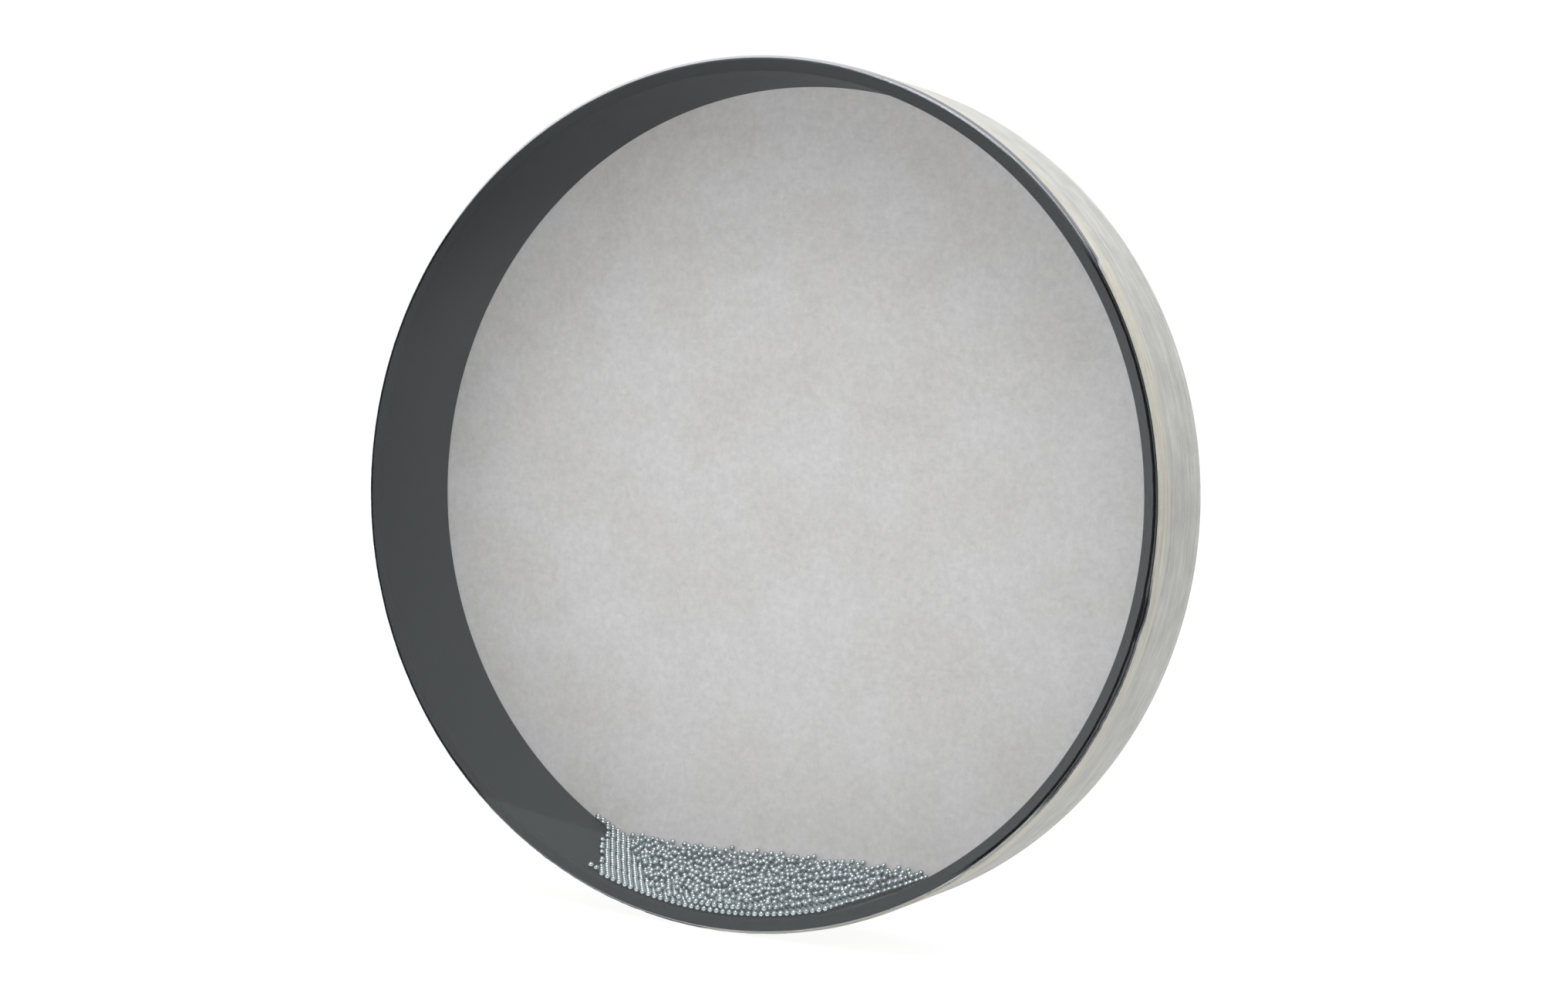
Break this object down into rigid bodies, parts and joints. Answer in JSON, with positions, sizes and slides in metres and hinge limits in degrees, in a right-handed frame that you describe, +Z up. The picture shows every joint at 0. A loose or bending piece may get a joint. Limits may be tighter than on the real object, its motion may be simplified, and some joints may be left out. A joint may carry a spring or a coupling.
{
  "type": "ocean drum",
  "caption": "Shallow round hand drum with a clear front head, a fibre-faced rear head and loose steel beads sealed inside that run round the shell with a sound of surf.",
  "frame": {"origin": "centre of the drum, on its axis and midway between the outer faces of the two heads", "axes": "+Y along the drum's axis from the clear front head to the rear head, +Z up, with the bead heap at the bottom, +X to the right seen from the front"},
  "size_m": [0.4064, 0.0636, 0.4064],
  "materials": {
    "shell_laminate": "satin dark grey laminate of wood fibre and resin",
    "clear_film": "clear glossy polyester film",
    "fibre_film": "light grey film faced with a matt web of fibres",
    "glue": "dark cured glue",
    "wrap_fibre": "warm light grey fibre sheet, streaked along its length",
    "bead_steel": "polished bare steel"
  },
  "bodies": {
    "drum": {"shell": "shell_laminate", "front_head": "clear_film", "rear_head": "fibre_film", "front_glue_ring": "glue", "rear_glue_ring": "glue", "outer_wrap": "wrap_fibre"},
    "beads_front_run": {"beads_front": "bead_steel"},
    "beads_mid_front_run": {"beads_mid_front": "bead_steel"},
    "beads_mid_rear_run": {"beads_mid_rear": "bead_steel"},
    "beads_rear_run": {"beads_rear": "bead_steel"}
  },
  "joints": [
    {"name": "beads_front_orbit", "type": "hinge", "parent": "drum", "child": "beads_front_run", "pos_m": [0, 0, 0], "axis": [0, 1, 0], "continuous": true},
    {"name": "beads_mid_front_orbit", "type": "hinge", "parent": "drum", "child": "beads_mid_front_run", "pos_m": [0, 0, 0], "axis": [0, 1, 0], "continuous": true},
    {"name": "beads_mid_rear_orbit", "type": "hinge", "parent": "drum", "child": "beads_mid_rear_run", "pos_m": [0, 0, 0], "axis": [0, 1, 0], "continuous": true},
    {"name": "beads_rear_orbit", "type": "hinge", "parent": "drum", "child": "beads_rear_run", "pos_m": [0, 0, 0], "axis": [0, 1, 0], "continuous": true}
  ]
}
